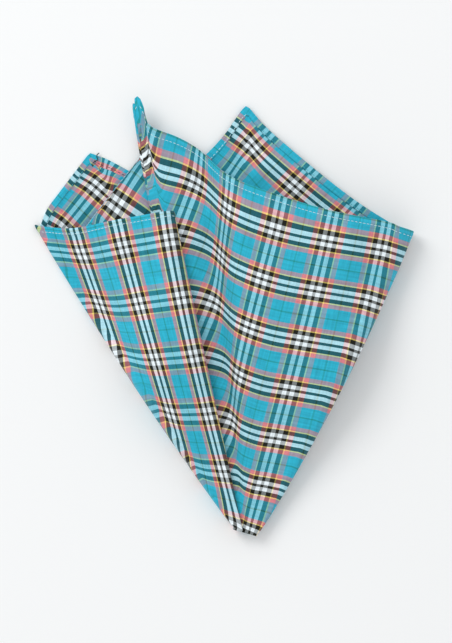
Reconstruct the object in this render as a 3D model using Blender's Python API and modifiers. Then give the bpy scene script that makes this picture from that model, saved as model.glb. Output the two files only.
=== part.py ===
"""A hemmed cotton handkerchief, pinched near its middle and laid down with its corners fanned out.

One square of cloth. Its hem runs back and forth over the pinched tip in ten layers joined by ten soft
turns, and every layer narrows to the blunt tip, where the middle of the cloth closes the bundle.
Metres, +Z up, the surface it lies on at z = 0, and the middle of its bounding box over the origin.
"""

import math
from collections import namedtuple

import bmesh
import bpy

MM = 0.001

# The cloth, in millimetres: its thickness, and how far apart its layers lie at the tip, in the body and
# near the hem.
CLOTH_THICK = 1.0
TIP_SPACING = 1.42
BODY_SPACING = 3.4
OUTER_SPACING = 1.9

# The rays that run from the tip to the hem: their distance at the hem, how evenly they leave the tip,
# how many rows cross them and how much closer those lie at the hem, and the rays round a turn.
COLUMN_STEP = 13.0
EVEN_SHARE = 0.25
ROWS = 15
ROW_CROWDING = 1.35
LONG_TURN_STEPS = 7
SHORT_TURN_STEPS = 4
LONG_TURN_RANKS = 3

# Plan places: where all rays would meet, the two ends of the blunt tip, how far it runs on square to
# them, and the middle of the whole plan.
APEX_Y = -16.2
TIP_LEFT = (-9.6, 3.2)
TIP_RIGHT = (6.6, -1.3)
TIP_STUB = 1.5
PLAN_CENTRE = (-14.94, 144.41)

# Distances from the apex at which the stack of layers opens out, at which it thins again, and at which
# a layer starts to follow the edges of those under it; the softness of those edges, how softly and how
# far past a hem the layer above it comes down, and the fullness of a ray's bow.
OPEN_FROM, OPEN_TO = 20.0, 200.0
THIN_FROM, THIN_TO = 235.0, 320.0
FADE_FROM, FADE_TO = 120.0, 215.0
EDGE_SOFTNESS = 0.055
HEM_DROP = 13.0
HEM_REACH = 5.0
BOW_FULLNESS = 0.7

# The air under the right-hand sheet and how much of it is lost near the hem, the step where it begins,
# the air under the left-hand flap, the lifted horn, and the ledge whose hem droops onto the layer below.
SHEET_PUFF, SHEET_LOSS = 16.0, 0.3
STEP_ANGLE, STEP_HALF_WIDTH = 94.0, 2.6
FLAP_PUFF = 4.0
HORN_LIFT = 7.0
HORN_FROM, HORN_TO = 288.0, 312.0
LEDGE_DROOP = 0.014
LEDGE_REST = 2.1

# A turn: where it starts on the tip, the side it bulges to, the ranks of the layers before and after
# it (0 lies on the surface), and how far it bulges at the tip, half way and at the hem.
Turn = namedtuple("Turn", "tip side before after tip_wide mid_wide rim_wide")
TURNS = {
    "left_edge": Turn(0.0, -1, 0, 9, 0.91, 8.5, 2.0),
    "flap_edge": Turn(6.11, 1, 9, 8, 0.63, 1.8, 1.7),
    "flap_lining": Turn(1.85, -1, 8, 5, 0.7, 4.0, 2.0),
    "inner_pleat": Turn(7.95, 1, 5, 6, 0.63, 1.6, 1.6),
    "horn_edge": Turn(4.69, -1, 6, 7, 0.63, 1.6, 1.2),
    "right_edge": Turn(16.76, 1, 7, 4, 0.91, 8.0, 11.0),
    "back_left": Turn(2.7, -1, 4, 3, 0.63, 1.6, 1.7),
    "back_right": Turn(15.19, 1, 3, 2, 0.63, 1.6, 1.7),
    "under_left": Turn(3.55, -1, 2, 1, 0.63, 1.6, 1.7),
    "under_right": Turn(13.35, 1, 1, 0, 0.63, 1.6, 1.7),
}

# The hem, once round: the distance along it from the back-left corner, the plan place where it lies,
# the sideways bow of the ray from there to the tip, and whether the hem turns sharply there.
Stop = namedtuple("Stop", "name hem x y bow sharp")
HEM = (
    Stop("left_edge", 67.0, -141.8, 205.2, -3.5, True),
    Stop("flap_first_check", 90.7, -116.8, 203.9, -2.0, False),
    Stop("flap_middle_check", 127.0, -87.8, 209.2, 0.0, False),
    Stop("flap_last_check", 163.3, -55.4, 214.7, 0.0, False),
    Stop("flap_edge", 170.5, -49.3, 214.7, 0.0, True),
    Stop("flap_lining", 237.0, -115.4, 198.5, -2.0, True),
    Stop("ledge_low", 272.2, -94.5, 224.8, 0.0, False),
    Stop("ledge_middle", 308.4, -78.3, 244.4, 0.0, False),
    Stop("ledge_high", 322.9, -70.2, 254.5, 0.0, False),
    Stop("ledge_end", 334.0, -60.8, 262.6, 0.0, False),
    Stop("inner_pleat", 354.6, -45.9, 257.2, 0.0, True),
    Stop("under_horn", 378.0, -70.9, 274.7, -5.0, False),
    Stop("horn_edge", 391.0, -76.3, 287.6, -8.0, True),
    Stop("horn_corner", 400.0, -73.6, 292.0, -7.0, True),
    Stop("horn_foot", 415.3, -67.9, 277.2, -5.5, False),
    Stop("front_first_check", 421.8, -64.1, 272.0, -5.0, False),
    Stop("front_hollow", 442.0, -46.6, 265.3, -2.0, False),
    Stop("front_second_check", 461.4, -31.7, 256.5, 0.0, False),
    Stop("front_third_check", 501.0, -10.8, 238.3, 0.0, False),
    Stop("front_fourth_check", 540.6, 23.6, 224.8, 0.0, False),
    Stop("front_fifth_check", 580.2, 58.1, 214.7, 1.5, False),
    Stop("front_sixth_check", 619.8, 93.8, 207.9, 4.0, False),
    Stop("right_edge", 646.2, 112.1, 201.8, 5.5, True),
    Stop("back_first_check", 699.0, 74.2, 222.1, 0.0, False),
    Stop("back_middle_check", 738.6, 44.6, 245.0, 0.0, False),
    Stop("back_last_check", 778.2, 14.9, 270.7, 0.0, False),
    Stop("back_corner", 800.0, -2.0, 285.5, 0.0, True),
    Stop("back_hem", 842.0, -27.0, 254.5, 0.0, False),
    Stop("back_left", 940.8, -98.6, 193.1, -1.5, True),
    Stop("back_right", 1121.9, 81.7, 201.8, 2.5, True),
    Stop("hidden_corner", 1200.0, 25.7, 255.2, 0.0, True),
    Stop("under_left", 1342.3, -74.9, 160.7, 0.0, True),
    Stop("under_right", 1458.4, 37.8, 174.2, 0.0, True),
    Stop("left_hem_end", 1565.2, -79.0, 242.3, 0.0, False),
    Stop("left_corner", 1600.0, -106.7, 255.5, 0.0, True),
    Stop("left_hem_middle", 1640.0, -127.1, 228.4, -2.0, False),
)

# Each rank of the stack: the turns that bound its layer on the left and on the right.
LAYER_BOUNDS = (
    ("left_edge", "under_right"),
    ("under_left", "under_right"),
    ("under_left", "back_right"),
    ("back_left", "back_right"),
    ("back_left", "right_edge"),
    ("flap_lining", "inner_pleat"),
    ("horn_edge", "inner_pleat"),
    ("horn_edge", "right_edge"),
    ("flap_lining", "flap_edge"),
    ("left_edge", "flap_edge"),
)
LEDGE_RANK, HORN_RANK, SHEET_RANK, FLAP_RANK = 5, 6, 7, 8

Column = namedtuple("Column", "x y tip bow before after angle side wides spread")


def smooth(value):
    """Runs softly from 0 to 1 while the value does, and stays level outside."""
    value = min(1.0, max(0.0, value))
    return value * value * (3.0 - 2.0 * value)


def mix(first, second, share):
    return first + (second - first) * share


def angle_at(x, y):
    """The direction of a plan place from the apex, in degrees from +X."""
    return math.degrees(math.atan2(y - APEX_Y, x))


def bow_at(bow, along):
    """The sideways reach of a bowed ray, this far along it."""
    return bow * (4.0 * along * (1.0 - along)) ** BOW_FULLNESS


TURN_STOPS = {stop.name: stop for stop in HEM if stop.name in TURNS}
TURN_ORDER = [stop.name for stop in HEM if stop.name in TURNS]


def layer_stops(start, end):
    """The stops of the hem between two turns."""
    first, last = HEM.index(TURN_STOPS[start]), HEM.index(TURN_STOPS[end])
    return HEM[first + 1 : last] if last > first else HEM[first + 1 :] + HEM[:last]


def hem_outline(rank):
    """The hem of a layer as directions from the apex and distances, in order of direction."""
    start = next(name for name in TURN_ORDER if TURNS[name].after == rank)
    end = next(name for name in TURN_ORDER if TURNS[name].before == rank)
    stops = (TURN_STOPS[start], *layer_stops(start, end), TURN_STOPS[end])
    return sorted((angle_at(stop.x, stop.y), math.hypot(stop.x, stop.y - APEX_Y)) for stop in stops)


HEM_OUTLINES = [hem_outline(rank) for rank in range(len(LAYER_BOUNDS))]


def beside_turn(name, reach, angle):
    """How far to the right of this turn's ray a place lies, from its distance and direction."""
    stop = TURN_STOPS[name]
    along = min(1.0, max(0.0, (reach - OPEN_FROM) / (math.hypot(stop.x, stop.y - APEX_Y) - OPEN_FROM)))
    straight = reach * math.sin(math.radians(angle_at(stop.x, stop.y) - angle))
    return straight - bow_at(stop.bow, along)


def presence(rank, reach, angle):
    """1 where the layer of this rank lies, softly 0 outside its two turns."""
    left, right = LAYER_BOUNDS[rank]
    margin = EDGE_SOFTNESS * reach
    inside_left = beside_turn(left, reach, angle)
    inside_right = -beside_turn(right, reach, angle)
    near_left = 1.0 if left == "left_edge" else smooth(0.5 + inside_left / (2.0 * margin))
    near_right = smooth(0.5 + inside_right / (2.0 * margin))
    return near_left * near_right


def short_of_hem(rank, reach, angle):
    """1 where a place is nearer the tip than this layer's hem, softly 0 beyond it."""
    outline = HEM_OUTLINES[rank]
    hem = outline[0][1] if angle <= outline[0][0] else outline[-1][1]
    for (from_angle, from_reach), (to_angle, to_reach) in zip(outline, outline[1:]):
        if from_angle <= angle <= to_angle and to_angle > from_angle:
            hem = mix(from_reach, to_reach, (angle - from_angle) / (to_angle - from_angle))
    return smooth(0.5 + (hem + HEM_REACH - reach) / (2.0 * HEM_DROP))


def height(rank, x, y):
    """How high the middle of this layer lies over a plan place: the sum of the gaps below it."""
    reach = math.hypot(x, y - APEX_Y)
    angle = angle_at(x, y)
    opening = smooth((reach - OPEN_FROM) / (OPEN_TO - OPEN_FROM))
    thinning = smooth((reach - THIN_FROM) / (THIN_TO - THIN_FROM))
    spacing = mix(TIP_SPACING, BODY_SPACING, opening)
    fade = smooth((reach - FADE_FROM) / (FADE_TO - FADE_FROM))
    total = CLOTH_THICK / 2.0
    for below in range(1, rank + 1):
        thinned = (BODY_SPACING - OUTER_SPACING) * thinning if below < LEDGE_RANK else 0.0
        there = presence(below, reach, angle)
        if below < min(rank, LEDGE_RANK):
            there *= short_of_hem(below, reach, angle)
        total += (spacing - thinned) * (1.0 - fade * (1.0 - there))
    if rank >= SHEET_RANK:
        right_of_step = smooth(0.5 - (angle - STEP_ANGLE) / (2.0 * STEP_HALF_WIDTH))
        total += SHEET_PUFF * right_of_step * opening * (1.0 - SHEET_LOSS * thinning)
    if rank >= FLAP_RANK:
        total += FLAP_PUFF * opening * presence(FLAP_RANK, reach, angle)
    if rank in (HORN_RANK, SHEET_RANK):
        total += HORN_LIFT * smooth((reach - HORN_FROM) / (HORN_TO - HORN_FROM))
    return total


def along_tip(distance):
    """The plan place this far along the blunt tip, from its left end."""
    length = math.dist(TIP_LEFT, TIP_RIGHT)
    return tuple(mix(TIP_LEFT[axis], TIP_RIGHT[axis], distance / length) for axis in (0, 1))


def across():
    """The plan direction that runs along the blunt tip, to the right."""
    length = math.dist(TIP_LEFT, TIP_RIGHT)
    return tuple((TIP_RIGHT[axis] - TIP_LEFT[axis]) / length for axis in (0, 1))


def curve_through(stops, share):
    """A place on the smooth hem through these stops, with share counted in stops."""
    index = min(int(share), len(stops) - 2)
    part = share - index
    start, end = stops[index], stops[index + 1]
    before = stops[max(index - 1, 0)]
    after = stops[min(index + 2, len(stops) - 1)]
    place = []
    for axis in range(3):
        leave = (end[axis] - before[axis]) / 2.0
        arrive = (after[axis] - start[axis]) / 2.0
        if index == 0:
            leave = end[axis] - start[axis]
        if index + 2 >= len(stops):
            arrive = end[axis] - start[axis]
        place.append(
            mix(start[axis], end[axis], part * part * (3.0 - 2.0 * part))
            + leave * part * (1.0 - part) ** 2
            - arrive * part * part * (1.0 - part)
        )
    return place


def turn_columns(stop):
    """The rays round one turn, from the layer before it to the layer after it."""
    turn = TURNS[stop.name]
    long_turn = abs(turn.after - turn.before) >= LONG_TURN_RANKS
    steps = LONG_TURN_STEPS if long_turn else SHORT_TURN_STEPS
    wides = (turn.tip_wide, turn.mid_wide, turn.rim_wide)
    columns = []
    for step in range(steps + 1):
        angle = math.pi * (step / steps - 0.5)
        columns.append(
            Column(stop.x, stop.y, turn.tip, stop.bow, turn.before, turn.after, angle, turn.side, wides, ())
        )
    return columns


def layer_columns(start, middle, end):
    """The rays of one layer, between the turns that it leaves and reaches."""
    right = across()
    first, last = TURNS[start.name], TURNS[end.name]
    ends = []
    for stop, turn in ((start, first), (end, last)):
        inward = -turn.side * turn.rim_wide
        ends.append((stop.x + inward * right[0], stop.y + inward * right[1], stop.bow))
    tip_ends = [turn.tip - turn.side * turn.tip_wide for turn in (first, last)]
    runs, run = [], [(start.hem, *ends[0])]
    for stop in middle:
        run.append((stop.hem, stop.x, stop.y, stop.bow))
        if stop.sharp:
            runs.append(run)
            run = [run[-1]]
    last_hem = end.hem if end.hem > run[-1][0] else end.hem + HEM[-1].hem
    run.append((last_hem, *ends[1]))
    runs.append(run)
    places = []
    for run in runs:
        for index in range(len(run) - 1):
            length = math.dist(run[index][1:3], run[index + 1][1:3])
            count = max(1, round(length / COLUMN_STEP))
            plan = [row[1:] for row in run]
            places += [curve_through(plan, index + step / count) for step in range(count)]
    places = places[1:]
    first_angle, last_angle = (angle_at(end_place[0], end_place[1]) for end_place in ends)
    columns = []
    for number, (x, y, bow) in enumerate(places):
        share = (angle_at(x, y) - first_angle) / (last_angle - first_angle)
        even = (number + 1) / (len(places) + 1)
        share = min(1.0, max(0.0, mix(share, even, EVEN_SHARE)))
        tip = mix(tip_ends[0], tip_ends[1], share)
        spread = ((1.0 - share) ** 2, share**2, first, last)
        columns.append(Column(x, y, tip, bow, first.after, first.after, 0.0, 0, None, spread))
    return columns


def bulge(wides, along):
    """How far a turn bulges this far along its ray, through its three given widths."""
    tip_wide, mid_wide, rim_wide = wides
    extra = mid_wide - (tip_wide + rim_wide) / 2.0
    return mix(tip_wide, rim_wide, along), 4.0 * along * (1.0 - along) * extra


def place(column, along):
    """The point of one ray, from the tip at 0 to the hem at 1."""
    right = across()
    start = along_tip(column.tip)
    x = mix(start[0], column.x, along)
    y = mix(start[1], column.y, along)
    ray = math.hypot(column.x - start[0], column.y - start[1])
    bow = bow_at(column.bow, along)
    x += bow * (column.y - start[1]) / ray
    y -= bow * (column.x - start[0]) / ray
    if column.wides:
        plain, extra = bulge(column.wides, along)
        shift = column.side * (plain + extra) * (math.cos(column.angle) - 1.0)
    else:
        first_share, last_share, first, last = column.spread
        shift = 0.0
        for share, turn in ((first_share, first), (last_share, last)):
            wides = (turn.tip_wide, turn.mid_wide, turn.rim_wide)
            shift -= turn.side * bulge(wides, along)[1] * share
    x += shift * right[0]
    y += shift * right[1]
    blend = 0.5 + 0.5 * math.sin(column.angle) if column.wides else 0.0
    z = mix(height(column.before, x, y), height(column.after, x, y), blend)
    if column.before == column.after == LEDGE_RANK and along > 1.0 - LEDGE_DROOP:
        z = LEDGE_REST
    return x, y, z


def cloth_columns():
    """All rays of the cloth, once round its hem."""
    columns = []
    for start, end in zip(TURN_ORDER, TURN_ORDER[1:] + TURN_ORDER[:1]):
        columns += turn_columns(TURN_STOPS[start])
        columns += layer_columns(TURN_STOPS[start], layer_stops(start, end), TURN_STOPS[end])
    return columns


def cloth_mesh():
    """The middle of the cloth as one sheet: rays by rows, closed over the tip."""
    columns = cloth_columns()
    shares = [1.0 - (1.0 - row / ROWS) ** ROW_CROWDING for row in range(ROWS + 1)]
    right = across()
    mesh = bmesh.new()
    grid = []
    for column in columns:
        points = [place(column, share) for share in shares]
        x, y, z = points[0]
        points.insert(0, (x + right[1] * TIP_STUB, y - right[0] * TIP_STUB, z))
        ray = []
        for x, y, z in points:
            ray.append(mesh.verts.new(((x - PLAN_CENTRE[0]) * MM, (y - PLAN_CENTRE[1]) * MM, z * MM)))
        grid.append(ray)
    for ray, next_ray in zip(grid, grid[1:] + grid[:1]):
        for row in range(ROWS + 1):
            mesh.faces.new((ray[row], ray[row + 1], next_ray[row + 1], next_ray[row]))
    mesh.faces.new([ray[0] for ray in grid])
    bmesh.ops.recalc_face_normals(mesh, faces=mesh.faces)
    data = bpy.data.meshes.new("handkerchief")
    mesh.to_mesh(data)
    mesh.free()
    return data


def cotton():
    """Yarn-dyed cotton, matt and turquoise where no stripe crosses it."""
    material = bpy.data.materials.new("woven_cotton")
    material.use_nodes = True
    surface = material.node_tree.nodes["Principled BSDF"]
    surface.inputs["Base Color"].default_value = (0.02, 0.36, 0.56, 1.0)
    surface.inputs["Roughness"].default_value = 0.85
    surface.inputs["Metallic"].default_value = 0.0
    return material


def main():
    for existing in list(bpy.data.objects):
        bpy.data.objects.remove(existing)
    collection = bpy.data.collections.new("folded_handkerchief")
    bpy.context.scene.collection.children.link(collection)
    cloth = bpy.data.objects.new("handkerchief", cloth_mesh())
    cloth.data.materials.append(cotton())
    collection.objects.link(cloth)
    wall = cloth.modifiers.new("cloth thickness", "SOLIDIFY")
    wall.thickness = CLOTH_THICK * MM
    wall.offset = 0.0
    wall.solidify_mode = "NON_MANIFOLD"
    wall.nonmanifold_thickness_mode = "FIXED"
    cloth.data.shade_smooth()


main()
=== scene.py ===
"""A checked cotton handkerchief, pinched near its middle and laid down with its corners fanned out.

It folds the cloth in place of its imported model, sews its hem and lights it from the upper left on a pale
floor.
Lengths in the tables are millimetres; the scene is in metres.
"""

import math
from collections import namedtuple

import bmesh
import bpy
import numpy as np
from bpy.props import FloatProperty, FloatVectorProperty, IntProperty, PointerProperty
from mathutils import Matrix, Vector


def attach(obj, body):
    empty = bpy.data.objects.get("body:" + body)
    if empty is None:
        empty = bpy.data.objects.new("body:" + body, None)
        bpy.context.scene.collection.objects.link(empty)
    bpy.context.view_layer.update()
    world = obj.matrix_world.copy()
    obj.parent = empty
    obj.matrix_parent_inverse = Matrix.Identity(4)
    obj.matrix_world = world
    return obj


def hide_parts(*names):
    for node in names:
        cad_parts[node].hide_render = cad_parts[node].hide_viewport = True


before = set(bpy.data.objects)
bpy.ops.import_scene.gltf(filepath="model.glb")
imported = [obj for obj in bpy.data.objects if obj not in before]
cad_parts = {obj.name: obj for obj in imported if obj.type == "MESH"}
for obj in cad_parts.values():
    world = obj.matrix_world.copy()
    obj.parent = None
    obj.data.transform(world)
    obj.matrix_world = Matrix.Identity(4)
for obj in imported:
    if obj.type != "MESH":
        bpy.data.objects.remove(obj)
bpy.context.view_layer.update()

bl_info = {
    "name": "Folded checked handkerchief",
    "version": (1, 0, 0),
    "blender": (4, 5, 0),
    "location": "View3D > Sidebar > Handkerchief",
    "description": "Folds, sews and lights a checked cotton handkerchief",
    "category": "Object",
}

MM = 0.001
NODE = "handkerchief"

# The cut cloth and the places of its check: the first band's middle and the repeat, along each side.
CLOTH_SIDE = 400.0
BLUISH_FIRST, BLUISH_REPEAT = 0.55 * 39.6, 39.6
CRISP_FIRST, CRISP_REPEAT = 0.52 * 36.3, 36.3

# How far apart the layers lie at the tip, in the body and near the hem, and the lowest layer's middle.
TIP_SPACING = 1.42
BODY_SPACING = 3.4
OUTER_SPACING = 1.9
LOWEST_MIDDLE = 0.5

# Plan places: where all rays would meet, the two ends of the blunt tip, how far it runs on square to
# them, and the middle of the whole plan.
APEX_Y = -16.2
TIP_LEFT = (-9.0, 1.9)
TIP_RIGHT = (6.9, -2.8)
TIP_STUB = 1.5
PLAN_CENTRE = (-14.94, 144.41)

# Distances from the apex at which the stack of layers opens out, at which it thins again, and at which
# a layer starts to follow the edges of those under it. Then how soft those edges are beside a turn and at a
# hem, how far past its hem a layer still holds up those over it, and how full a ray's bow is.
OPEN_FROM, OPEN_TO = 20.0, 175.0
THIN_FROM, THIN_TO = 235.0, 320.0
FADE_FROM, FADE_TO = 120.0, 215.0
EDGE_SOFTNESS = 0.055
HEM_DROP = 13.0
HEM_REACH = 5.0
BOW_FULLNESS = 0.7

# The air under the right-hand sheet and how much of it is lost near the hem, the step where it begins,
# the air under the left-hand flap, and the lifted horn.
SHEET_PUFF, SHEET_LOSS = 16.0, 0.3
STEP_ANGLE, STEP_HALF_WIDTH = 94.0, 2.6
FLAP_PUFF = 7.0
HORN_LIFT = 7.0
HORN_FROM, HORN_TO = 288.0, 312.0

# The hem of the ledge behind the flap hangs down from its visible edge: how much cloth hangs, where along
# the hem that starts and ends, how high its end rests and how fast the cloth rises from there.
LEDGE_HANG = (14.1, 18.8)
LEDGE_FROM, LEDGE_TO = (242.0, 270.0), (310.0, 350.0)
LEDGE_REST, LEDGE_SLOPE = 2.1, 0.15

# How far in from the hem the cloth is drawn up by its whole slack, and how late that fades to the tip.
SLACK_FROM = 19.0
SLACK_FADE = 4.0

# A fold's curl near the hem: how far it reaches into the layers beside it, in shares of their width, and
# over which last share of a ray it fades to the hem.
CURL_REACH, CURL_FADE = 0.052, 0.05

# The largest share of the tip's cloth between two turns that lies in half a turn, and how evenly a layer's
# rays leave the tip: 0 is by their direction, 1 is at equal distances.
TIP_ARC_SHARE = 0.3
EVENNESS = 0.25

# A turn: where it starts on the tip, the side it bulges to, the ranks of the layers before and after
# it (0 lies on the surface), how far it bulges at the tip, half way and at the hem, the place of the
# cut cloth that lies at the tip there, and how far the fold strays in the cloth: along the hem half way,
# and in t just short of the hem, where it is pulled on the bias. Last, how much of the hem's cloth that
# would lie round the turn is there, the rest being drawn out to both sides of it.
Turn = namedtuple(
    "Turn",
    "tip side before after tip_wide mid_wide rim_wide cloth_s cloth_t creep curl hem_share",
    defaults=(1.0,),
)
TURNS = {
    "left_edge": Turn(0.0, -1, 0, 9, 0.91, 8.5, 3.4, 219.0, 241.6, -21.0, 0.0, 0.35),
    "flap_edge": Turn(6.11, 1, 9, 8, 0.63, 1.8, 1.7, 219.0, 233.0, 4.5, 0.0),
    "flap_lining": Turn(1.85, -1, 8, 5, 0.7, 4.0, 2.0, 217.0, 226.0, 0.0, 0.0),
    "inner_pleat": Turn(7.95, 1, 5, 6, 0.63, 1.6, 1.6, 196.0, 226.0, 0.0, 0.0),
    "horn_edge": Turn(4.69, -1, 6, 7, 0.63, 1.6, 1.2, 172.5, 236.7, 0.0, -18.0),
    "right_edge": Turn(16.76, 1, 7, 4, 0.91, 8.0, 11.0, 189.5, 235.2, 0.0, 0.0),
    "back_left": Turn(2.7, -1, 4, 3, 0.63, 1.6, 1.7, 212.0, 226.0, 0.0, 0.0),
    "back_right": Turn(15.19, 1, 3, 2, 0.63, 1.6, 1.7, 225.0, 236.0, 0.0, 0.0),
    "under_left": Turn(3.55, -1, 2, 1, 0.63, 1.6, 1.7, 222.0, 246.0, 0.0, 0.0),
    "under_right": Turn(13.35, 1, 1, 0, 0.63, 1.6, 1.7, 212.0, 250.0, 0.0, 0.0),
}

# The hem, once round: the distance along it from the back-left corner, the plan place where it lies,
# the sideways bow of the ray from there to the tip, whether the hem turns sharply there, and how far the
# cloth past the hem is drawn up towards the tip, in soft folds too small to draw.
Stop = namedtuple("Stop", "name hem x y bow sharp slack")
HEM = (
    Stop("left_edge", 60.0, -143.4, 206.3, -3.5, True, -2.2),
    Stop("flap_first_check", 90.7, -116.8, 203.9, -2.0, False, -2.4),
    Stop("flap_middle_check", 127.0, -87.8, 209.2, 0.0, False, -2.4),
    Stop("flap_last_check", 163.3, -55.4, 214.7, 0.0, False, -2.4),
    Stop("flap_edge", 170.5, -49.3, 214.7, 0.0, True, -2.4),
    Stop("flap_lining", 237.0, -115.4, 198.5, -2.0, True, 0.0),
    Stop("ledge_low", 272.2, -98.5, 218.3, 0.0, False, 0.0),
    Stop("ledge_middle", 308.4, -74.3, 248.9, 0.0, False, 0.0),
    Stop("ledge_high", 322.9, -66.0, 261.0, 0.0, False, 0.0),
    Stop("ledge_end", 334.0, -60.8, 262.6, 0.0, False, 0.0),
    Stop("inner_pleat", 354.6, -45.9, 257.2, 0.0, True, 0.0),
    Stop("under_horn", 378.0, -70.9, 274.7, -5.0, False, 0.0),
    Stop("horn_edge", 391.0, -76.5, 288.0, -8.0, True, 5.0),
    Stop("horn_corner_left", 396.6, -75.7, 291.4, -8.0, True, 5.0),
    Stop("horn_corner", 400.0, -73.9, 292.6, -7.0, False, 5.0),
    Stop("horn_corner_right", 403.6, -71.9, 290.8, -6.5, True, 5.0),
    Stop("horn_side", 408.5, -69.6, 285.0, -6.0, False, 3.0),
    Stop("horn_foot", 415.3, -67.9, 277.2, -5.5, False, 1.5),
    Stop("front_first_check", 421.8, -64.1, 272.0, -5.0, False, 7.0),
    Stop("front_hollow", 442.0, -46.6, 265.3, -2.0, False, 6.5),
    Stop("front_second_check", 461.4, -31.7, 256.5, 0.0, False, 6.0),
    Stop("front_third_check", 501.0, -10.8, 238.3, 0.0, False, 6.0),
    Stop("front_fourth_check", 540.6, 23.6, 224.8, 0.0, False, 5.5),
    Stop("front_fifth_check", 580.2, 58.1, 214.7, 1.5, False, 3.0),
    Stop("front_sixth_check", 619.8, 93.8, 207.9, 4.0, False, 1.5),
    Stop("right_edge", 646.2, 112.1, 201.8, 5.5, True, 0.0),
    Stop("back_first_check", 699.0, 74.2, 222.1, 0.0, False, 0.0),
    Stop("back_middle_check", 738.6, 44.6, 245.0, 0.0, False, 0.0),
    Stop("back_last_check", 778.2, 14.9, 270.7, 0.0, False, 0.0),
    Stop("back_corner_right", 796.8, 1.7, 285.4, 0.0, True, 0.0),
    Stop("back_corner", 800.0, -0.7, 286.7, 0.0, False, 0.0),
    Stop("back_corner_left", 803.2, -2.7, 285.0, 0.0, True, 0.0),
    Stop("back_hem", 842.0, -27.0, 254.5, 0.0, False, 0.0),
    Stop("back_left", 940.8, -98.6, 193.1, -1.5, True, 0.0),
    Stop("back_right", 1121.9, 81.7, 201.8, 2.5, True, 0.0),
    Stop("hidden_corner", 1200.0, 25.7, 255.2, 0.0, True, 0.0),
    Stop("under_left", 1342.3, -74.9, 160.7, 0.0, True, 0.0),
    Stop("under_right", 1458.4, 37.8, 174.2, 0.0, True, 0.0),
    Stop("left_hem_end", 1565.2, -79.0, 242.3, 0.0, False, -5.0),
    Stop("left_corner_right", 1596.8, -103.9, 254.3, 0.0, True, -5.0),
    Stop("left_corner", 1600.0, -106.2, 254.9, 0.0, False, -5.0),
    Stop("left_corner_left", 1603.2, -108.2, 253.2, 0.0, True, -5.0),
    Stop("left_hem_middle", 1636.0, -127.1, 228.4, -2.0, False, -5.0),
    Stop("left_hem_low", 1650.0, -135.5, 216.8, -2.8, False, -5.0),
)
HEM_LENGTH = 4 * CLOTH_SIDE

# Each rank of the stack: the turns that bound its layer on the left and on the right.
LAYER_BOUNDS = (
    ("left_edge", "under_right"),
    ("under_left", "under_right"),
    ("under_left", "back_right"),
    ("back_left", "back_right"),
    ("back_left", "right_edge"),
    ("flap_lining", "inner_pleat"),
    ("horn_edge", "inner_pleat"),
    ("horn_edge", "right_edge"),
    ("flap_lining", "flap_edge"),
    ("left_edge", "flap_edge"),
)
LEDGE_RANK, HORN_RANK, SHEET_RANK, FLAP_RANK = 5, 6, 7, 8
LONG_TURN_RANKS = 3

# One ray of the cloth: its place on the hem, in plan and along the tip, the cut cloth's place at the tip,
# its bow and slack, and the ranks that it joins. For a turn there follow the angle round it, its side, its
# three widths, and its creep and curl; a layer has only, at the end, the shares of its two turns and those.
Ray = namedtuple("Ray", "hem x y tip tip_s tip_t bow slack before after angle side wides spread")


def smooth(value):
    """Runs softly from 0 to 1 while the value does, and stays level outside."""
    value = min(1.0, max(0.0, value))
    return value * value * (3.0 - 2.0 * value)


def mix(first, second, share):
    return first + (second - first) * share


def from_apex(x, y):
    """A plan place's direction from the apex, in degrees from +X, and its distance from there."""
    return math.degrees(math.atan2(y - APEX_Y, x)), math.hypot(x, y - APEX_Y)


def bow_at(bow, along):
    """The sideways reach of a bowed ray, this far along it."""
    return bow * (4.0 * along * (1.0 - along)) ** BOW_FULLNESS


# The turns' stops in order round the hem, and the two turns that each layer leaves and reaches.
TURN_STOPS = {stop.name: stop for stop in HEM if stop.name in TURNS}
TURN_ORDER = list(TURN_STOPS)
LAYER_TURNS = tuple(zip(TURN_ORDER, TURN_ORDER[1:] + TURN_ORDER[:1]))


def layer_stops(start, end):
    """The stops of the hem between two turns."""
    first, last = HEM.index(TURN_STOPS[start]), HEM.index(TURN_STOPS[end])
    return HEM[first + 1 : last] if last > first else HEM[first + 1 :] + HEM[:last]


def hem_outline(rank):
    """The hem of a layer as directions from the apex and distances, in order of direction."""
    for start, end in LAYER_TURNS:
        if TURNS[start].after == rank:
            stops = (TURN_STOPS[start], *layer_stops(start, end), TURN_STOPS[end])
            return tuple(zip(*sorted(from_apex(stop.x, stop.y) for stop in stops)))
    raise ValueError(f"no layer has rank {rank}")


HEM_OUTLINES = [hem_outline(rank) for rank in range(len(LAYER_BOUNDS))]


def beside_turn(name, reach, angle):
    """How far to the right of this turn's ray a place lies, from its distance and direction."""
    stop = TURN_STOPS[name]
    turn_angle, turn_reach = from_apex(stop.x, stop.y)
    along = min(1.0, max(0.0, (reach - OPEN_FROM) / (turn_reach - OPEN_FROM)))
    return reach * math.sin(math.radians(turn_angle - angle)) - bow_at(stop.bow, along)


def presence(rank, reach, angle):
    """1 where the layer of this rank lies, softly 0 outside its two turns."""
    left, right = LAYER_BOUNDS[rank]
    margin = EDGE_SOFTNESS * reach
    inside_left = beside_turn(left, reach, angle)
    inside_right = -beside_turn(right, reach, angle)
    near_left = 1.0 if left == "left_edge" else smooth(0.5 + inside_left / (2.0 * margin))
    near_right = smooth(0.5 + inside_right / (2.0 * margin))
    return near_left * near_right


def short_of_hem(rank, reach, angle):
    """1 where a place is nearer the tip than this layer's hem, softly 0 beyond it."""
    angles, reaches = HEM_OUTLINES[rank]
    return smooth(0.5 + (float(np.interp(angle, angles, reaches)) + HEM_REACH - reach) / (2.0 * HEM_DROP))


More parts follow.
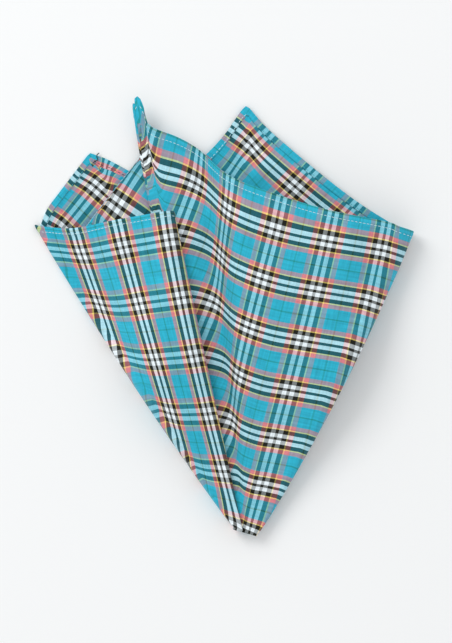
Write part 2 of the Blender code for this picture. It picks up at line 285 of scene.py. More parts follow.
def height(rank, x, y):
    """How high the middle of this layer lies over a plan place: the sum of the gaps below it."""
    angle, reach = from_apex(x, y)
    opening = smooth((reach - OPEN_FROM) / (OPEN_TO - OPEN_FROM))
    thinning = smooth((reach - THIN_FROM) / (THIN_TO - THIN_FROM))
    spacing = mix(TIP_SPACING, BODY_SPACING, opening)
    fade = smooth((reach - FADE_FROM) / (FADE_TO - FADE_FROM))
    total = LOWEST_MIDDLE
    for below in range(1, rank + 1):
        thinned = (BODY_SPACING - OUTER_SPACING) * thinning if below < LEDGE_RANK else 0.0
        there = presence(below, reach, angle)
        if below < rank and below < LEDGE_RANK:
            there *= short_of_hem(below, reach, angle)
        total += (spacing - thinned) * (1.0 - fade * (1.0 - there))
    if rank >= SHEET_RANK:
        right_of_step = smooth(0.5 - (angle - STEP_ANGLE) / (2.0 * STEP_HALF_WIDTH))
        total += SHEET_PUFF * right_of_step * opening * (1.0 - SHEET_LOSS * thinning)
    if rank >= FLAP_RANK:
        total += FLAP_PUFF * opening * presence(FLAP_RANK, reach, angle)
    if rank in (HORN_RANK, SHEET_RANK):
        total += HORN_LIFT * smooth((reach - HORN_FROM) / (HORN_TO - HORN_FROM))
    return total


TIP_LENGTH = math.dist(TIP_LEFT, TIP_RIGHT)
# The plan direction that runs along the blunt tip, to the right.
RIGHTWARD = tuple((end - start) / TIP_LENGTH for start, end in zip(TIP_LEFT, TIP_RIGHT))


def along_tip(distance):
    """The plan place this far along the blunt tip, from its left end."""
    return tuple(mix(start, end, distance / TIP_LENGTH) for start, end in zip(TIP_LEFT, TIP_RIGHT))


def curve_through(stops, share):
    """A place on the smooth hem through these stops, with share counted in stops."""
    index = min(int(share), len(stops) - 2)
    part = share - index
    start, end = stops[index], stops[index + 1]
    before = stops[max(index - 1, 0)]
    after = stops[min(index + 2, len(stops) - 1)]
    values = []
    for axis in range(len(start)):
        leave = (end[axis] - before[axis]) / 2.0
        arrive = (after[axis] - start[axis]) / 2.0
        if index == 0:
            leave = end[axis] - start[axis]
        if index + 2 >= len(stops):
            arrive = end[axis] - start[axis]
        values.append(
            mix(start[axis], end[axis], smooth(part))
            + leave * part * (1.0 - part) ** 2
            - arrive * part * part * (1.0 - part)
        )
    return values


def half_arc(wide, rise):
    """Half the cloth that lies round a turn this wide and this high."""
    return 0.5 * math.pi * math.hypot(wide, rise / 2.0) / math.sqrt(2.0)


def turn_facts(name):
    """The hem cloth and the tip cloth that lie in one half of a turn."""
    stop, turn = TURN_STOPS[name], TURNS[name]
    rise = height(turn.before, stop.x, stop.y) - height(turn.after, stop.x, stop.y)
    before = TURNS[TURN_ORDER[TURN_ORDER.index(name) - 1]]
    after = TURNS[TURN_ORDER[(TURN_ORDER.index(name) + 1) % len(TURN_ORDER)]]
    run = (after.cloth_s - before.cloth_s, after.cloth_t - before.cloth_t)
    tip_arc = half_arc(turn.tip_wide, TIP_SPACING * abs(turn.before - turn.after))
    tip_arc = min(tip_arc, TIP_ARC_SHARE * math.hypot(*run))
    step = [tip_arc * part / math.hypot(*run) for part in run]
    return turn.hem_share * half_arc(turn.rim_wide, rise), step


TURN_FACTS = {name: turn_facts(name) for name in TURN_ORDER}


def turn_rays(name, steps):
    """The rays round one turn, from the layer before it to the layer after it."""
    stop, turn = TURN_STOPS[name], TURNS[name]
    hem_arc, tip_step = TURN_FACTS[name]
    wides = (turn.tip_wide, turn.mid_wide, turn.rim_wide)
    rays = []
    for step in range(steps + 1):
        share = 2.0 * step / steps - 1.0
        tip_s = turn.cloth_s + tip_step[0] * share
        tip_t = turn.cloth_t + tip_step[1] * share
        rays.append(
            Ray(
                stop.hem + hem_arc * share, stop.x, stop.y, turn.tip, tip_s, tip_t, stop.bow, stop.slack,
                turn.before, turn.after, 0.5 * math.pi * share, turn.side, wides,
                (turn.creep, turn.curl),
            )
        )
    return rays


def layer_ends(start, end):
    """The values of a layer's rays just inside its two turns: those at the hem, and those at the tip."""
    hem_ends, tip_ends = [], []
    for name, way in ((start, 1.0), (end, -1.0)):
        stop, turn = TURN_STOPS[name], TURNS[name]
        hem_arc, tip_step = TURN_FACTS[name]
        inward = -turn.side * turn.rim_wide
        x, y = stop.x + inward * RIGHTWARD[0], stop.y + inward * RIGHTWARD[1]
        hem_ends.append([stop.hem + way * hem_arc, x, y, stop.bow, stop.slack])
        tip = turn.tip - turn.side * turn.tip_wide
        tip_ends.append((tip, turn.cloth_s + way * tip_step[0], turn.cloth_t + way * tip_step[1]))
    return hem_ends, tip_ends


def hem_places(start, end, hem_ends, column_step):
    """Where a layer's rays meet the hem, on smooth curves from each sharp stop to the next."""
    runs, run = [], [hem_ends[0]]
    for stop in layer_stops(start, end):
        run.append([stop.hem, stop.x, stop.y, stop.bow, stop.slack])
        if stop.sharp:
            runs.append(run)
            run = [run[-1]]
    run.append(hem_ends[1])
    runs.append(run)
    places = []
    for run in runs:
        for row, next_row in zip(run, run[1:]):
            while next_row[0] < row[0]:
                next_row[0] += HEM_LENGTH
        for index in range(len(run) - 1):
            length = math.dist(run[index][1:3], run[index + 1][1:3])
            count = max(1, round(length / column_step))
            places += [curve_through(run, index + step / count) for step in range(count)]
    return places[1:]


def layer_rays(start, end, column_step):
    """The rays of one layer, between the turns that it leaves and reaches."""
    first, last = TURNS[start], TURNS[end]
    rank = first.after
    hem_ends, tip_ends = layer_ends(start, end)
    places = hem_places(start, end, hem_ends, column_step)
    first_angle, last_angle = (from_apex(x, y)[0] for _, x, y, _, _ in hem_ends)
    rays = []
    for number, (hem, x, y, bow, slack) in enumerate(places):
        by_angle = (from_apex(x, y)[0] - first_angle) / (last_angle - first_angle)
        even = (number + 1) / (len(places) + 1)
        share = min(1.0, max(0.0, mix(by_angle, even, EVENNESS)))
        tip, tip_s, tip_t = (mix(*both, share) for both in zip(*tip_ends))
        spread = ((1.0 - share) ** 2, share**2, first, last)
        rays.append(Ray(hem, x, y, tip, tip_s, tip_t, bow, slack, rank, rank, 0.0, 0, (), spread))
    return rays


def cloth_rays(column_step, turn_steps):
    """All rays of the cloth, once round its hem."""
    rays = []
    for start, end in LAYER_TURNS:
        turn = TURNS[start]
        steps = turn_steps * 2 if abs(turn.after - turn.before) >= LONG_TURN_RANKS else turn_steps
        rays += turn_rays(start, steps) + layer_rays(start, end, column_step)
    return rays


def bulge(wides, along):
    """How far a turn bulges this far along its ray: straight from tip to rim, and what its middle adds."""
    tip_wide, mid_wide, rim_wide = wides
    extra = mid_wide - (tip_wide + rim_wide) / 2.0
    return mix(tip_wide, rim_wide, along), 4.0 * along * (1.0 - along) * extra


def drawn_aside(ray, along):
    """How far the turns draw the cloth aside, this far along a ray: to the right in plan, and on the cut
    cloth to the right, along the hem and, near the hem, in t."""
    hump = 4.0 * along * (1.0 - along)
    lip = smooth(2.0 * along - 1.0) * min(1.0, (1.0 - along) / CURL_FADE)
    if ray.wides:
        plain, extra = bulge(ray.wides, along)
        turned = math.cos(ray.angle) - 1.0
        with_hem = extra * ray.angle / (0.5 * math.pi) + ray.spread[0] * hump
        return ray.side * (plain + extra) * turned, ray.side * extra * turned, with_hem, ray.spread[1] * lip
    first_share, last_share, first, last = ray.spread
    aside, with_hem, curl = 0.0, 0.0, 0.0
    for share, turn, way in ((first_share, first, 1.0), (last_share, last, -1.0)):
        extra = bulge((turn.tip_wide, turn.mid_wide, turn.rim_wide), along)[1]
        aside -= turn.side * extra * share
        with_hem += (way * extra + turn.creep * hump) * share
        curl += turn.curl * lip * max(0.0, 1.0 - (1.0 - math.sqrt(share)) / CURL_REACH)
    return aside, aside, with_hem, curl


def place(ray, along):
    """The point of one ray, from the tip at 0 to the hem at 1."""
    start = along_tip(ray.tip)
    run = (ray.x - start[0], ray.y - start[1])
    length = math.hypot(*run)
    bow = bow_at(ray.bow, along)
    shift = drawn_aside(ray, along)[0]
    x = mix(start[0], ray.x, along) + bow * run[1] / length + shift * RIGHTWARD[0]
    y = mix(start[1], ray.y, along) - bow * run[0] / length + shift * RIGHTWARD[1]
    blend = 0.5 + 0.5 * math.sin(ray.angle) if ray.wides else 0.0
    return x, y, mix(height(ray.before, x, y), height(ray.after, x, y), blend)


def hem_place(distance):
    """The place on the cut cloth's edge, this far along the hem, and which of the four sides it is."""
    distance %= HEM_LENGTH
    side = min(3, int(distance // CLOTH_SIDE))
    along = distance - side * CLOTH_SIDE
    back = CLOTH_SIDE - along
    return ((0.0, back), (along, 0.0), (CLOTH_SIDE, along), (back, CLOTH_SIDE))[side], side


def hanging(hem):
    """How much cloth hangs down behind the ledge's visible edge, at this place of the hem."""
    starts = smooth((hem - LEDGE_FROM[0]) / (LEDGE_FROM[1] - LEDGE_FROM[0]))
    ends = smooth((hem - LEDGE_TO[0]) / (LEDGE_TO[1] - LEDGE_TO[0]))
    depth = mix(*LEDGE_HANG, smooth((hem - LEDGE_FROM[1]) / (LEDGE_TO[0] - LEDGE_FROM[1])))
    return depth * starts * (1.0 - ends)


def ray_rows(ray, inner_rows, hem_rows):
    """One ray from the tip to the hem: its points, their places on the cut cloth, and their distances from
    the cloth's edge."""
    (hem_s, hem_t), side = hem_place(ray.hem)
    depth = (ray.tip_s, ray.tip_t, CLOTH_SIDE - ray.tip_s, CLOTH_SIDE - ray.tip_t)[side]
    gaps = [mix(depth, hem_rows[-1], row / inner_rows) for row in range(inner_rows)]
    gaps += hem_rows[::-1]
    hang = hanging(ray.hem) if ray.before == ray.after == LEDGE_RANK else 0.0
    start = along_tip(ray.tip)
    run = (ray.x - start[0], ray.y - start[1])
    reach = math.hypot(*run)
    with_right = (run[0] * RIGHTWARD[0] + run[1] * RIGHTWARD[1]) / reach
    square = math.sqrt(max(0.0, 1.0 - with_right**2))
    cloth_reach = math.dist((hem_s, hem_t), (ray.tip_s, ray.tip_t))
    out_s, out_t = (hem_s - ray.tip_s) / cloth_reach, (hem_t - ray.tip_t) / cloth_reach
    points, cloth = [], []
    for gap in gaps:
        along = min(1.0, (depth - gap) / (depth - hang))
        along -= ray.slack / reach * smooth(gap / SLACK_FROM) * (1.0 - (gap / depth) ** SLACK_FADE)
        x, y, z = place(ray, along)
        if gap < hang:
            z = max(LEDGE_REST + LEDGE_SLOPE * gap, z - (hang - gap))
        share = 1.0 - gap / depth
        _, aside, with_hem, curl = drawn_aside(ray, along)
        outward, onward = aside * with_right, with_hem * square
        points.append((x, y, z))
        cloth.append((
            mix(ray.tip_s, hem_s, share) + outward * out_s - onward * out_t,
            mix(ray.tip_t, hem_t, share) + outward * out_t + onward * out_s + curl,
        ))
    x, y, z = points[0]
    stub = (x + RIGHTWARD[1] * TIP_STUB, y - RIGHTWARD[0] * TIP_STUB, z)
    return [stub, *points], [cloth[0], *cloth], [gaps[0], *gaps]


def cloth_grid(settings):
    """The folded cloth as rays by rows: each point, its place on the cut cloth and its distance from the
    edge, and for each ray its place on the hem."""
    hem_rows = list(HEM_ROWS)
    rays = cloth_rays(settings.column_step / MM, settings.turn_steps)
    inner_rows = round((CLOTH_SIDE / 2.0 - hem_rows[-1]) / (settings.row_step / MM))
    lines = [ray_rows(ray, inner_rows, hem_rows) for ray in rays]
    points, cloth, gaps = (np.array(part) for part in zip(*lines))
    return points, cloth, gaps, np.array([ray.hem for ray in rays])


def row_frame(points):
    """Plan millimetres to metres about the middle of the plan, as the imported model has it."""
    centred = np.asarray(points, dtype=float) - (PLAN_CENTRE[0], PLAN_CENTRE[1], 0.0)
    return centred * MM


def linear(text):
    """An sRGB hex colour as linear red, green, blue and alpha."""
    values = [int(text.lstrip("#")[index : index + 2], 16) / 255.0 for index in (0, 2, 4)]
    channels = [value / 12.92 if value <= 0.04045 else ((value + 0.055) / 1.055) ** 2.4 for value in values]
    return channels + [1.0]


def node(tree, kind, settings=None, **inputs):
    """Adds a node, with its settings and with its sockets linked or set; _0, _1 name a socket by place."""
    made = tree.nodes.new(kind)
    for name, value in (settings or {}).items():
        setattr(made, name, value)
    for name, value in inputs.items():
        by_place = name[0] == "_" and name[1:].isdigit()
        socket = made.inputs[int(name[1:]) if by_place else name.replace("_", " ")]
        if isinstance(value, bpy.types.NodeSocket):
            tree.links.new(value, socket)
        else:
            socket.default_value = value
    return made


def math_of(tree, operation, *values):
    """The result of a Math node."""
    inputs = {f"_{place_at}": value for place_at, value in enumerate(values)}
    return node(tree, "ShaderNodeMath", {"operation": operation}, **inputs).outputs[0]


# The yarns across half a repeat of the check, from the middle of a band to the middle of the ground:
# how far each runs, in shares of half a repeat, and its colour by name.
YARN_RUNS = (
    (0.052, "dark"),
    (0.209, "white"),
    (0.372, "dark"),
    (0.420, "yellow"),
    (0.585, "coral"),
    (0.972, "ground"),
    (1.0, "green"),
)
# Yarns that cross blend in the eye a little darker than in light: the power that the blend is made in.
YARN_BLEND = 1.75


def yarn_colours(tree, place_along, first, repeat, colours):
    """The colour of the yarns at a place across them, in millimetres."""
    shifted = math_of(tree, "DIVIDE", math_of(tree, "SUBTRACT", place_along, first), repeat)
    share = math_of(tree, "MULTIPLY", math_of(tree, "PINGPONG", shifted, 0.5), 2.0)
    ramp = node(tree, "ShaderNodeValToRGB", _0=share)
    ramp.color_ramp.interpolation = "CONSTANT"
    elements = ramp.color_ramp.elements
    elements.remove(elements[1])
    start = 0.0
    for index, (end, name) in enumerate(YARN_RUNS):
        element = elements[0] if index == 0 else elements.new(start)
        element.position = start
        element.color = [channel ** (1.0 / YARN_BLEND) for channel in colours[name][:3]] + [1.0]
        start = end
    return ramp.outputs["Color"]


# The cloth's looks: how far the weave shifts the share of the crisp yarns, how much the yarns differ in dye
# and how quickly that changes across them and along them, how much painted shade darkens the foot of the
# turned hem, and how much of the relief is fuzz.
WEAVE_SHIFT = 0.16
DYE_CHANGE = 0.5
DYE_ACROSS, DYE_ALONG = 0.7, 0.05
FOOT_SHADE = 0.38
FUZZ_SHARE = 0.8


def new_material(name, values):
    """A material with these values on its surface; also its node tree and its surface node."""
    material = bpy.data.materials.new(name)
    material.use_nodes = True
    surface = material.node_tree.nodes["Principled BSDF"]
    for socket, value in values.items():
        surface.inputs[socket].default_value = value
    return material, material.node_tree, surface


def woven_cotton(settings):
    """Yarn-dyed plain-weave cotton, washed: matt, a little fuzzy at a slant, the check in the yarns."""
    material, tree, surface = new_material("woven_cotton", {
        "Roughness": 0.86, "Specular IOR Level": 0.25, "Sheen Weight": 0.12, "Sheen Roughness": 0.5,
    })
    cut = node(tree, "ShaderNodeUVMap", {"uv_map": "cut_cloth"})
    split = node(tree, "ShaderNodeSeparateXYZ", _0=cut.outputs["UV"])
    along_s, along_t = (math_of(tree, "MULTIPLY", split.outputs[axis], CLOTH_SIDE) for axis in ("X", "Y"))
    colours = {name: getattr(settings, name) for _, name in YARN_RUNS}
    bluish = yarn_colours(tree, along_s, BLUISH_FIRST, BLUISH_REPEAT, colours)
    crisp = yarn_colours(tree, along_t, CRISP_FIRST, CRISP_REPEAT, colours)

    # Yarns lie about 0.3 mm apart; they are drawn 0.8 mm apart so that they show at all.
    turns_per_mm = 2.0 * math.pi / (settings.yarn_spacing / MM)
    turned = [math_of(tree, "MULTIPLY", along, turns_per_mm) for along in (along_s, along_t)]
    weave = math_of(tree, "MULTIPLY", *(math_of(tree, "SINE", angle) for angle in turned))
    over = math_of(tree, "MULTIPLY_ADD", weave, WEAVE_SHIFT, settings.crisp_share)
    blend = node(tree, "ShaderNodeMix", {"data_type": "RGBA"}, _0=over, _6=bluish, _7=crisp)
    light = node(tree, "ShaderNodeGamma", Color=blend.outputs[2], Gamma=YARN_BLEND)

    def streaks(scale_s, scale_t):
        scaled_s = math_of(tree, "MULTIPLY", along_s, scale_s)
        scaled_t = math_of(tree, "MULTIPLY", along_t, scale_t)
        spot = node(tree, "ShaderNodeCombineXYZ", _0=scaled_s, _1=scaled_t)
        return node(tree, "ShaderNodeTexNoise", Vector=spot.outputs[0], Scale=1.0, Detail=2.0).outputs[0]

    # Yarns differ a little in how much dye they took, along their whole length.
    dye = math_of(tree, "ADD", streaks(DYE_ACROSS, DYE_ALONG), streaks(DYE_ALONG, DYE_ACROSS))
    value = math_of(tree, "MULTIPLY_ADD", math_of(tree, "SUBTRACT", dye, 1.0), DYE_CHANGE, 1.0)
    # Painted shade: the foot of the turned hem is darkened in the colour, as little light reaches it.
    foot = node(tree, "ShaderNodeAttribute", {"attribute_name": "hem_inner_edge"})
    shade = math_of(tree, "MULTIPLY_ADD", foot.outputs["Fac"], -FOOT_SHADE, 1.0)
    value = math_of(tree, "MULTIPLY", value, shade)
    tint = node(tree, "ShaderNodeHueSaturation", Color=light.outputs[0], Value=value)
    tree.links.new(tint.outputs[0], surface.inputs["Base Color"])

    fuzz = node(tree, "ShaderNodeTexNoise", Vector=cut.outputs["UV"], Scale=420.0, Detail=3.0)
    relief = math_of(tree, "ADD", weave, math_of(tree, "MULTIPLY", fuzz.outputs[0], FUZZ_SHARE))
    bump = node(tree, "ShaderNodeBump", Strength=0.35, Distance=0.0002, Height=relief)
    tree.links.new(bump.outputs["Normal"], surface.inputs["Normal"])
    return material


def sewing_thread(name, colour):
    """Spun polyester sewing thread: smoother than the cloth, with a soft gloss along the twist."""
    material, tree, surface = new_material(name, {"Roughness": 0.55, "Sheen Weight": 0.1})
    spot = node(tree, "ShaderNodeTexCoord")
    twist = node(tree, "ShaderNodeTexNoise", Vector=spot.outputs["Object"], Scale=2600.0, Detail=1.0)
    value = math_of(tree, "MULTIPLY_ADD", twist.outputs[0], 0.35, 0.83)
    tint = node(tree, "ShaderNodeHueSaturation", Color=colour, Value=value)
    tree.links.new(tint.outputs[0], surface.inputs["Base Color"])
    return material


def deselect_all():
    for other in bpy.context.selected_objects:
        other.select_set(False)


def add_piece(name, mesh, material):
    """Puts a finished mesh into the handkerchief's collection."""
    piece = bpy.data.objects.new(name, mesh)
    collection = bpy.data.collections.get("checked_handkerchief")
    if collection is None:
        collection = bpy.data.collections.new("checked_handkerchief")
        bpy.context.scene.collection.children.link(collection)
    collection.objects.link(piece)
    mesh.materials.append(material)
    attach(piece, "root")
    return piece


def apply_modifiers(piece):
    deselect_all()
    bpy.context.view_layer.objects.active = piece
    piece.select_set(True)
    for modifier in list(piece.modifiers):
        bpy.ops.object.modifier_apply(modifier=modifier.name)
    piece.select_set(False)


# Rows near the hem: how far each lies from the edge, and its share of the turned hem's thickness; the
# rows past the last one with a share are plain cloth. The stitches run along one of them.
HEM_ROWS = {0.0: 0.7, 0.5: 0.95, 2.2: 1.0, 4.0: 0.72, 4.9: 0.9, 5.5: 0.0, 8.0: 0.0, 12.0: 0.0}
STITCH_ROW = 4.0
# How far the turned cloth is skewed along the hem, for each side of the cloth how much of it is turned
# under out of sight, and how wide the foot of the turned hem is that gets painted shade.
HEM_SKEW = 1.7
HEM_HIDDEN = (0.0, 0.0, 0.0, 5.5)
FOOT_WIDTH = 0.8
# Faces of the cloth that meet at less than this angle are shaded as one.
SMOOTH_ANGLE = math.radians(42.0)
# A stitch, in widths of its thread: how high its middle lies over the hem, and how thick it is. In shares of
# its length: how far from its middle its ends bend down, and how much of it a turn of the hem has to leave.
# A stitch is left out where less is left, or where the hem bends by more than the angle.
STITCH_RISE, STITCH_THICKNESS = 0.25, 0.7
STITCH_ENDS, STITCH_LEFT = 0.3, 0.6
STITCH_BEND = math.radians(40.0)
# The stitches on the cloth's back: teal up to the first place on the hem, pale up to the second, and then
# dark up to the back-left corner, where an end of that thread lies loose, this many thread widths in radius.
PALE_FROM, PALE_TO = 800.0, 1200.0
END_RADIUS = 0.8
THREAD_END = (
    (-100.1, 255.0, 1.9), (-100.9, 254.4, 2.3), (-101.6, 253.7, 2.4), (-101.7, 252.2, 2.1),
    (-101.1, 250.7, 2.1), (-101.3, 249.9, 2.3), (-102.3, 249.8, 2.4), (-104.2, 248.5, 2.2),
)


def colour_setting(name, description, text):
    return FloatVectorProperty(
        name=name, description=description, subtype="COLOR", size=4, default=linear(text)
    )


class ClothSettings(bpy.types.PropertyGroup):
    thickness: FloatProperty(
        name="Cloth thickness", description="Thickness of one layer", default=0.45 * MM, unit="LENGTH"
    )
    hem_thickness: FloatProperty(
        name="Hem thickness", description="Thickness of the turned hem", default=1.3 * MM, unit="LENGTH"
    )
    hem_width: FloatProperty(
        name="Hem width", description="Width of the turned hem", default=5.5 * MM, unit="LENGTH"
    )
    column_step: FloatProperty(
        name="Ray step", description="Distance of the mesh's rays at the hem", default=3.2 * MM, unit="LENGTH"
    )
    row_step: FloatProperty(
        name="Row step", description="Distance of the mesh's rows", default=3.6 * MM, unit="LENGTH"
    )
    turn_steps: IntProperty(name="Turn steps", description="Faces round a narrow turn", default=8)
    yarn_spacing: FloatProperty(
        name="Yarn spacing", description="Distance of the drawn yarns", default=0.8 * MM, unit="LENGTH"
    )
    crisp_share: FloatProperty(
        name="Crisp share", description="How much of the face the crisp yarns take", default=0.62,
        subtype="FACTOR",
    )
    ground: colour_setting("Ground", "Colour of the ground yarn", "#2BB1CD")
    dark: colour_setting("Dark", "Colour of the dark yarn", "#14160E")
    white: colour_setting("White", "Colour of the white yarn", "#EFF9FF")
    coral: colour_setting("Coral", "Colour of the coral yarn", "#DB828C")
    yellow: colour_setting("Yellow", "Colour of the yellow yarn", "#FFE27A")
    green: colour_setting("Green", "Colour of the thin green yarn", "#1F8F8C")


class StitchSettings(bpy.types.PropertyGroup):
    length: FloatProperty(
        name="Stitch length", description="Length of one stitch", default=2.3 * MM, unit="LENGTH"
    )
    pitch: FloatProperty(
        name="Stitch pitch", description="From one stitch to the next", default=2.9 * MM, unit="LENGTH"
    )
    width: FloatProperty(
        name="Thread width", description="Width of the thread", default=0.42 * MM, unit="LENGTH"
    )
    end_dip: FloatProperty(
        name="End dip", description="How far the ends of a stitch bend down, in thread widths", default=0.3
    )
    colour: colour_setting("Thread", "Colour of the upper thread", "#CDE4EC")
    lower_colour: colour_setting("Lower thread", "Colour of the lower thread", "#11201F")
    teal_colour: colour_setting("Teal thread", "Colour of the thread on the rest of the back", "#3FA9B8")


class StageSettings(bpy.types.PropertyGroup):
    lens: FloatProperty(name="Lens", description="Focal length in millimetres", default=200.0)
    view_height: FloatProperty(
        name="View height", description="What the camera sees from top to bottom", default=0.434,
        unit="LENGTH",
    )
    view_centre: FloatVectorProperty(
        name="View centre", description="What the camera looks at", default=(0.0008, -0.0036, 0.012),
        unit="LENGTH",
    )
    key_power: FloatProperty(
        name="Key power", description="Power of the light at the upper left", default=36.0
    )
    fill: FloatProperty(name="Fill", description="Strength of the light from all round", default=0.8)
    floor: colour_setting("Floor", "Colour of the floor", "#F4F5F6")


def turn_hem_over(data, width):
    mesh = bmesh.new()
    mesh.from_mesh(data)
    cut = mesh.loops.layers.uv["cut_cloth"]
    # Marks the foot of the turned hem, where the cloth's material paints shade into the colour.
    inner_edge = mesh.loops.layers.float.new("hem_inner_edge")
    strip = width / (CLOTH_SIDE * MM)
    for face in mesh.faces:
        places = [loop[cut].uv.copy() for loop in face.loops]
        turned = sum(a.cross(b) for a, b in zip(places, places[1:] + places[:1]))
        if turned <= 0.0:
            continue
        middle = sum(places, Vector((0.0, 0.0))) / len(places)
        x, y = middle
        edges = ((x, 0, 0.0, 0), (y, 1, 0.0, 1), (1.0 - x, 0, 1.0, 2), (1.0 - y, 1, 1.0, 3))
        distance, axis, edge, side = min(edges)
        if distance > strip:
            continue
        hidden = HEM_HIDDEN[side] / CLOTH_SIDE
        for loop in face.loops:
            loop[cut].uv[axis] = 2.0 * edge - loop[cut].uv[axis] + (hidden if edge else -hidden)
            loop[cut].uv[1 - axis] += HEM_SKEW / CLOTH_SIDE
            loop[inner_edge] = 1.0 if distance > strip - FOOT_WIDTH / CLOTH_SIDE else 0.0
    mesh.to_mesh(data)
    mesh.free()


class HANDKERCHIEF_OT_cloth(bpy.types.Operator):
    """Fold the cloth"""

    bl_idname = "handkerchief.cloth"
    bl_label = "Cloth"

    def execute(self, context):
        settings = context.scene.handkerchief_cloth
        points, cloth, gaps, _ = cloth_grid(settings)
        columns, rows = gaps.shape
        mesh = bmesh.new()
        corners = [mesh.verts.new(point) for point in row_frame(points.reshape(-1, 3))]
        for column in range(columns):
            after = (column + 1) % columns
            for row in range(rows - 1):
                here, there = column * rows + row, after * rows + row
                mesh.faces.new([corners[index] for index in (here, here + 1, there + 1, there)])
        mesh.faces.new([corners[column * rows] for column in range(columns)])
        mesh.verts.index_update()
        cut = mesh.loops.layers.uv.new("cut_cloth")
        flat = cloth.reshape(-1, 2) / CLOTH_SIDE
        for face in mesh.faces:
            for loop in face.loops:
                loop[cut].uv = flat[loop.vert.index]
        bmesh.ops.recalc_face_normals(mesh, faces=mesh.faces)
        data = bpy.data.meshes.new("handkerchief_cloth")
        mesh.to_mesh(data)
        mesh.free()
        piece = add_piece("handkerchief_cloth", data, woven_cotton(settings))
        hem = piece.vertex_groups.new(name="hem")
        thin = settings.thickness / settings.hem_thickness
        for gap in np.unique(gaps):
            row = [int(index) for index in np.flatnonzero(gaps.ravel() == gap)]
            hem.add(row, max(thin, HEM_ROWS.get(float(gap), 0.0)), "REPLACE")
        wall = piece.modifiers.new("cloth thickness", "SOLIDIFY")
        wall.thickness = settings.hem_thickness
        wall.offset = 0.0
        wall.vertex_group = "hem"
        wall.solidify_mode = "NON_MANIFOLD"
        wall.nonmanifold_thickness_mode = "FIXED"
        apply_modifiers(piece)
        piece.vertex_groups.clear()
        turn_hem_over(piece.data, settings.hem_width)
        deselect_all()
        piece.select_set(True)
        bpy.ops.object.shade_smooth_by_angle(angle=SMOOTH_ANGLE)
        piece.select_set(False)
        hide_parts(NODE)
        return {"FINISHED"}


def stitch_places(settings, cloth_settings):
    """Where the stitches lie along the hem, on the front of the cloth and on its back: for each its hem
    distance, its middle and its three directions (along the hem, across it and off the cloth)."""
    points, _, gaps, hems = cloth_grid(cloth_settings)
    row = int(np.flatnonzero(gaps[0] == STITCH_ROW)[0])
    line = row_frame(points[:, row])
    outward = row_frame(points[:, row + 1]) - row_frame(points[:, row - 1])
    lift = 0.5 * cloth_settings.hem_thickness * HEM_ROWS[STITCH_ROW] + STITCH_RISE * settings.width

    def at(values, distance):
        return np.array([np.interp(distance, hems, values[:, axis]) for axis in range(3)])

    places = {"front": [], "back": []}
    half = 0.5 * settings.length / MM
    count = int((hems[-1] - hems[0]) * MM / settings.pitch)
    for number in range(1, count):
        hem = hems[0] + number * settings.pitch / MM
        before, middle, after = (at(line, hem + part) for part in (-half, 0.0, half))
        along = Vector(after - before)
        bend = Vector(after - middle).angle(Vector(middle - before))
        if bend > STITCH_BEND or along.length < STITCH_LEFT * settings.length:
            continue
        along.normalize()
        off = along.cross(Vector(at(outward, hem))).normalized()
        for side, way in (("front", 1.0), ("back", -1.0)):
            spot = Vector(middle) + way * lift * off
            places[side].append((hem % HEM_LENGTH, spot, along, (way * off).cross(along), way * off))
    return places


def model_stitch(settings):
    """One stitch: a flattened length of thread with its ends bent down, where they enter the cloth."""
    deselect_all()
    bpy.ops.mesh.primitive_uv_sphere_add(segments=8, ring_count=6, radius=0.5, location=(0.0, 0.0, 0.0))
    stitch = bpy.context.object
    stitch.scale = (settings.length, settings.width, STITCH_THICKNESS * settings.width)
    bpy.ops.object.transform_apply(location=False, rotation=False, scale=True)
    bpy.ops.object.mode_set(mode="EDIT")
    bpy.ops.mesh.select_all(action="DESELECT")
    bpy.ops.object.mode_set(mode="OBJECT")
    for vertex in stitch.data.vertices:
        vertex.select = abs(vertex.co.x) > STITCH_ENDS * settings.length
    bpy.ops.object.mode_set(mode="EDIT")
    bpy.ops.transform.translate(value=(0.0, 0.0, -settings.end_dip * settings.width))
    bpy.ops.object.mode_set(mode="OBJECT")
    return stitch


def sew(name, places, settings, material):
    """One row of stitches: a stitch is modelled once and copied to each place."""
    stitch = model_stitch(settings)
    row = bmesh.new()
    for _, spot, along, across_hem, off in places:
        own = stitch.data.copy()
        own.transform(Matrix.Translation(spot) @ Matrix((along, across_hem, off)).transposed().to_4x4())
        row.from_mesh(own)
        bpy.data.meshes.remove(own)
    bpy.data.objects.remove(stitch)
    joined = bpy.data.meshes.new(name)
    row.to_mesh(joined)
    row.free()
    joined.shade_smooth()
    return add_piece(name, joined, material)


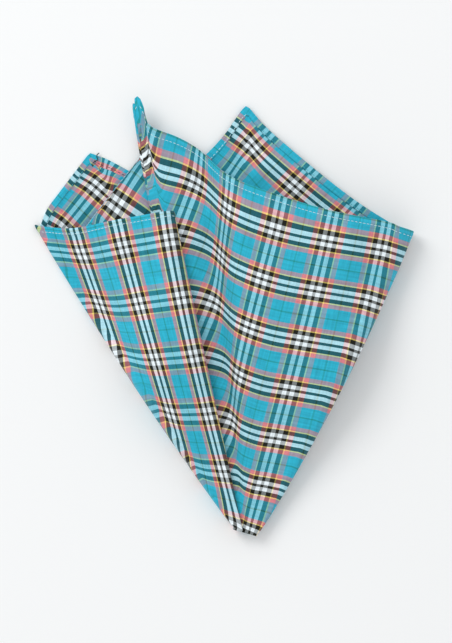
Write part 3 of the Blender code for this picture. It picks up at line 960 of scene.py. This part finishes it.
class HANDKERCHIEF_OT_stitches(bpy.types.Operator):
    """Sew the hem, and leave a thread end at its corner"""

    bl_idname = "handkerchief.stitches"
    bl_label = "Stitches"

    def execute(self, context):
        settings = context.scene.handkerchief_stitches
        places = stitch_places(settings, context.scene.handkerchief_cloth)
        if not places["front"]:
            raise RuntimeError("no place on the hem takes a stitch")
        light = sewing_thread("sewing_thread_pale", settings.colour)
        dark = sewing_thread("sewing_thread_dark", settings.lower_colour)
        teal = sewing_thread("sewing_thread_teal", settings.teal_colour)
        pale_back = [spot for spot in places["back"] if PALE_FROM <= spot[0] < PALE_TO]
        dark_back = [spot for spot in places["back"] if PALE_TO <= spot[0]]
        teal_back = [spot for spot in places["back"] if spot[0] < PALE_FROM]
        sew("hem_stitching", places["front"] + pale_back, settings, light)
        sew("hem_stitching_dark", dark_back, settings, dark)
        sew("hem_stitching_teal", teal_back, settings, teal)
        bpy.ops.curve.primitive_nurbs_path_add()
        curve = context.object
        curve.data.splines.clear()
        route = row_frame(THREAD_END)
        spline = curve.data.splines.new("POLY")
        spline.points.add(len(route) - 1)
        for point, spot in zip(spline.points, route):
            point.co = (*spot, 1.0)
        curve.data.bevel_depth = END_RADIUS * settings.width
        curve.data.bevel_resolution = 2
        curve.data.use_fill_caps = True
        deselect_all()
        curve.select_set(True)
        context.view_layer.objects.active = curve
        bpy.ops.object.convert(target="MESH")
        data = context.object.data
        data.name = "thread_end"
        bpy.data.objects.remove(context.object)
        data.materials.clear()
        data.shade_smooth()
        add_piece("thread_end", data, dark)
        return {"FINISHED"}


# The stage in metres: the floor's side, and the key light's side, place and colour. Then the side of the
# camera's sensor, in millimetres.
FLOOR_SIDE = 6.0
KEY_SIDE, KEY_PLACE, KEY_COLOUR = 1.5, (-1.6, 1.45, 2.2), (1.0, 0.995, 0.985)
SENSOR_SIDE = 36.0


def area_light(name, power, side, spot, target, colour):
    """A square lamp at a spot, turned to its target."""
    light = bpy.data.lights.new(name, "AREA")
    light.energy = power
    light.color = colour
    light.size = side
    lamp = bpy.data.objects.new(name, light)
    lamp.location = spot
    lamp.rotation_euler = (target - Vector(spot)).to_track_quat("-Z", "Y").to_euler()
    bpy.context.scene.collection.objects.link(lamp)


class HANDKERCHIEF_OT_stage(bpy.types.Operator):
    """Lay the floor, and set up the lights and the camera"""

    bl_idname = "handkerchief.stage"
    bl_label = "Floor, lights and camera"

    def execute(self, context):
        settings = context.scene.handkerchief_stage
        deselect_all()
        bpy.ops.mesh.primitive_plane_add(size=FLOOR_SIDE, location=(0.0, 0.0, 0.0))
        floor = context.object
        floor.name = "studio_floor"
        # Pale matt paper: it gives back almost no gloss, so only the cloth's soft shadow shows on it.
        paper, _, _ = new_material("matt_paper", {
            "Base Color": settings.floor, "Roughness": 0.9, "Specular IOR Level": 0.1,
        })
        floor.data.materials.append(paper)
        centre = Vector(settings.view_centre)
        area_light("key_light", settings.key_power, KEY_SIDE, KEY_PLACE, centre, KEY_COLOUR)
        world = bpy.data.worlds.new("studio_air")
        world.use_nodes = True
        air = world.node_tree.nodes["Background"]
        air.inputs["Color"].default_value = linear("#FBFCFC")
        air.inputs["Strength"].default_value = settings.fill
        context.scene.world = world
        camera_data = bpy.data.cameras.new("overhead_camera")
        camera_data.sensor_fit = "VERTICAL"
        camera_data.sensor_height = SENSOR_SIDE
        camera_data.sensor_width = SENSOR_SIDE
        camera_data.lens = settings.lens
        camera_data.clip_start = 0.05
        camera_data.clip_end = 20.0
        camera = bpy.data.objects.new("overhead_camera", camera_data)
        camera.location = centre + Vector((0.0, 0.0, settings.view_height * settings.lens / SENSOR_SIDE))
        bpy.context.scene.collection.objects.link(camera)
        context.scene.camera = camera
        context.scene.view_settings.view_transform = "Standard"
        return {"FINISHED"}


class HANDKERCHIEF_PT_panel(bpy.types.Panel):
    """The handkerchief's pieces, in the order they are made"""

    bl_idname = "HANDKERCHIEF_PT_panel"
    bl_label = "Handkerchief"
    bl_space_type = "VIEW_3D"
    bl_region_type = "UI"
    bl_category = "Handkerchief"

    def draw(self, context):
        for operator in (HANDKERCHIEF_OT_cloth, HANDKERCHIEF_OT_stitches, HANDKERCHIEF_OT_stage):
            self.layout.operator(operator.bl_idname)


CLASSES = (
    ClothSettings,
    StitchSettings,
    StageSettings,
    HANDKERCHIEF_OT_cloth,
    HANDKERCHIEF_OT_stitches,
    HANDKERCHIEF_OT_stage,
    HANDKERCHIEF_PT_panel,
)


def register():
    for made in CLASSES:
        bpy.utils.register_class(made)
    bpy.types.Scene.handkerchief_cloth = PointerProperty(type=ClothSettings)
    bpy.types.Scene.handkerchief_stitches = PointerProperty(type=StitchSettings)
    bpy.types.Scene.handkerchief_stage = PointerProperty(type=StageSettings)


def unregister():
    del bpy.types.Scene.handkerchief_stage
    del bpy.types.Scene.handkerchief_stitches
    del bpy.types.Scene.handkerchief_cloth
    for made in reversed(CLASSES):
        bpy.utils.unregister_class(made)


def main():
    register()
    bpy.ops.handkerchief.cloth()
    bpy.ops.handkerchief.stitches()
    bpy.ops.handkerchief.stage()


if __name__ == "__main__":
    main()
